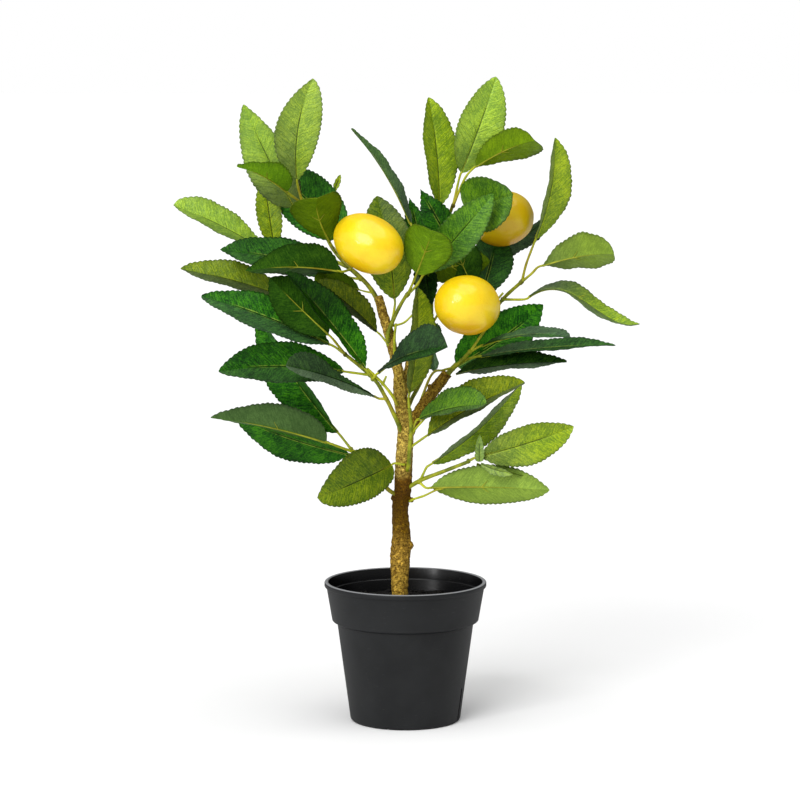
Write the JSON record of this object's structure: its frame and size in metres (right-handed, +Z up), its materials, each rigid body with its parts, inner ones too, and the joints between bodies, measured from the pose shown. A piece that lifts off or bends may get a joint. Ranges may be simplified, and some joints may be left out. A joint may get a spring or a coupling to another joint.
{
  "type": "potted lemon tree",
  "caption": "Small lemon tree in a round nursery pot: wrapped forked trunk, green sprigs, scalloped leaves and glossy lemons.",
  "frame": {"origin": "centre of the pot's flat underside, on the surface that the pot stands on", "axes": "+Z up the trunk; -Y towards the viewer of the picture; +X to the viewer's right"},
  "size_m": [0.3426, 0.1726, 0.4753],
  "materials": {
    "pot_plastic": "satin",
    "filling": "matte",
    "bark": "matte",
    "stem_plastic": "satin",
    "lemon_skin": "gloss",
    "leaf_dark": "satin",
    "leaf_mid": "satin",
    "leaf_light": "satin"
  },
  "bodies": {
    "root": {"pot": "pot_plastic", "potting_fill": "filling", "trunk": "bark", "sprig_low_right": "stem_plastic", "sprig_low_left": "stem_plastic", "sprig_low_front": "stem_plastic", "sprig_front": "stem_plastic", "sprig_right": "stem_plastic", "sprig_far_right": "stem_plastic", "sprig_centre": "stem_plastic", "sprig_left": "stem_plastic", "sprig_upper_left": "stem_plastic", "sprig_back_left": "stem_plastic", "sprig_upper_right": "stem_plastic", "sprig_rear": "stem_plastic", "lemon_left": "lemon_skin", "lemon_right": "lemon_skin", "lemon_upper": "lemon_skin", "leaf_low_right_1": "leaf_light", "leaf_low_right_2": "leaf_light", "leaf_low_right_3": "leaf_light", "leaf_low_left_1": "leaf_dark", "leaf_low_left_2": "leaf_dark", "leaf_low_front_1": "leaf_mid", "leaf_front_1": "leaf_mid", "leaf_front_2": "leaf_mid", "leaf_front_3": "leaf_light", "leaf_right_1": "leaf_dark", "leaf_right_2": "leaf_dark", "leaf_right_3": "leaf_dark", "leaf_far_right_1": "leaf_light", "leaf_far_right_2": "leaf_light", "leaf_far_right_3": "leaf_mid", "leaf_centre_1": "leaf_mid", "leaf_centre_2": "leaf_mid", "leaf_centre_3": "leaf_mid", "leaf_left_1": "leaf_dark", "leaf_left_2": "leaf_dark", "leaf_left_3": "leaf_dark", "leaf_left_4": "leaf_dark", "leaf_left_5": "leaf_dark", "leaf_left_6": "leaf_dark", "leaf_upper_left_1": "leaf_light", "leaf_upper_left_2": "leaf_light", "leaf_upper_left_3": "leaf_mid", "leaf_upper_left_4": "leaf_dark", "leaf_upper_left_5": "leaf_dark", "leaf_upper_left_6": "leaf_dark", "leaf_upper_left_7": "leaf_dark", "leaf_back_left_1": "leaf_light", "leaf_back_left_2": "leaf_light", "leaf_upper_right_1": "leaf_light", "leaf_upper_right_2": "leaf_light", "leaf_upper_right_3": "leaf_mid", "leaf_upper_right_4": "leaf_dark", "leaf_upper_right_5": "leaf_dark", "leaf_rear_1": "leaf_dark", "leaf_rear_2": "leaf_dark", "leaf_rear_3": "leaf_mid", "leaf_rear_4": "leaf_dark"}
  },
  "joints": []
}
